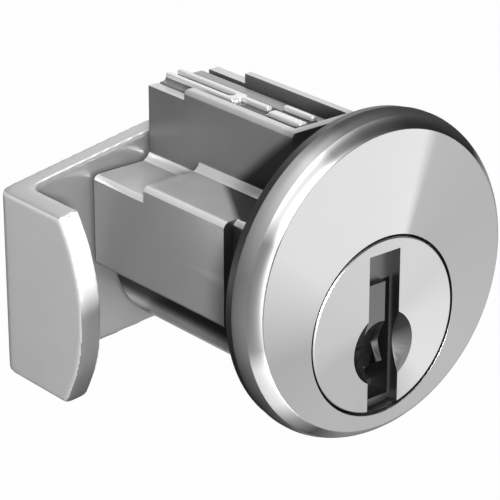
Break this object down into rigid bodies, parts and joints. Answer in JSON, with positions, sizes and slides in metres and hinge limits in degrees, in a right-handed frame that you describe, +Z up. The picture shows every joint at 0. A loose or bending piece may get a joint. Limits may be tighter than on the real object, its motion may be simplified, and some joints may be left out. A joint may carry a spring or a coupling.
{
  "type": "mailbox lock",
  "caption": "Pin tumbler mailbox lock: round face with a low plug, stepped body with side grooves for a clip, and a hook cam bent towards the front.",
  "frame": {"origin": "centre of the door hole in the plane of the door's front, where the round face's lip seats; the plug's axis is 3.7 mm below it", "axes": "+Y runs back through the door along the lock's axis, +Z is up, towards the pin tower, and +X is right as seen from the front"},
  "size_m": [0.0309, 0.0323, 0.027],
  "materials": {
    "satin_nickel": "turned, satin nickel plate",
    "die_cast_zinc": "die-cast zinc, as cast and tumbled",
    "plated_steel": "pressed steel, satin plate",
    "pressed_steel": "pressed steel, bright edges",
    "spring_steel": "bare spring steel",
    "zinc_plated_steel": "zinc plate",
    "pin_brass": "turned brass"
  },
  "bodies": {
    "lock_body": {"housing": "die_cast_zinc", "face_cap": "satin_nickel", "tumbler_cover": "pressed_steel", "driver_spring_1": "spring_steel", "driver_spring_2": "spring_steel", "driver_spring_3": "spring_steel", "driver_spring_4": "spring_steel", "driver_spring_5": "spring_steel"},
    "plug_group": {"plug": "satin_nickel", "stop_washer": "pressed_steel", "hook_cam": "plated_steel", "lock_washer": "spring_steel", "cam_nut": "zinc_plated_steel"},
    "driver_1": {"driver_pin_1": "pin_brass"},
    "key_1": {"key_pin_1": "pin_brass"},
    "driver_2": {"driver_pin_2": "pin_brass"},
    "key_2": {"key_pin_2": "pin_brass"},
    "driver_3": {"driver_pin_3": "pin_brass"},
    "key_3": {"key_pin_3": "pin_brass"},
    "driver_4": {"driver_pin_4": "pin_brass"},
    "key_4": {"key_pin_4": "pin_brass"},
    "driver_5": {"driver_pin_5": "pin_brass"},
    "key_5": {"key_pin_5": "pin_brass"}
  },
  "joints": [
    {"name": "plug_turn", "type": "hinge", "parent": "lock_body", "child": "plug_group", "pos_m": [0, 0, -0.0037], "axis": [0, -1, 0], "range_deg": [0, 90]},
    {"name": "driver_lift_1", "type": "slide", "parent": "lock_body", "child": "driver_1", "axis": [0, 0, 1], "range_m": [0, 0.002], "stiffness_N_per_m": 100, "springref_m": -0.001, "deforming": ["driver_spring_1"]},
    {"name": "driver_lift_2", "type": "slide", "parent": "lock_body", "child": "driver_2", "axis": [0, 0, 1], "range_m": [0, 0.002], "stiffness_N_per_m": 100, "springref_m": -0.001, "deforming": ["driver_spring_2"]},
    {"name": "driver_lift_3", "type": "slide", "parent": "lock_body", "child": "driver_3", "axis": [0, 0, 1], "range_m": [0, 0.002], "stiffness_N_per_m": 100, "springref_m": -0.001, "deforming": ["driver_spring_3"]},
    {"name": "driver_lift_4", "type": "slide", "parent": "lock_body", "child": "driver_4", "axis": [0, 0, 1], "range_m": [0, 0.002], "stiffness_N_per_m": 100, "springref_m": -0.001, "deforming": ["driver_spring_4"]},
    {"name": "driver_lift_5", "type": "slide", "parent": "lock_body", "child": "driver_5", "axis": [0, 0, 1], "range_m": [0, 0.002], "stiffness_N_per_m": 100, "springref_m": -0.001, "deforming": ["driver_spring_5"]},
    {"name": "key_pin_lift_1", "type": "slide", "parent": "plug_group", "child": "key_1", "axis": [0, 0, 1], "range_m": [0, 0.00342]},
    {"name": "key_pin_lift_2", "type": "slide", "parent": "plug_group", "child": "key_2", "axis": [0, 0, 1], "range_m": [0, 0.00262]},
    {"name": "key_pin_lift_3", "type": "slide", "parent": "plug_group", "child": "key_3", "axis": [0, 0, 1], "range_m": [0, 0.00382]},
    {"name": "key_pin_lift_4", "type": "slide", "parent": "plug_group", "child": "key_4", "axis": [0, 0, 1], "range_m": [0, 0.00302]},
    {"name": "key_pin_lift_5", "type": "slide", "parent": "plug_group", "child": "key_5", "axis": [0, 0, 1], "range_m": [0, 0.00222]}
  ]
}
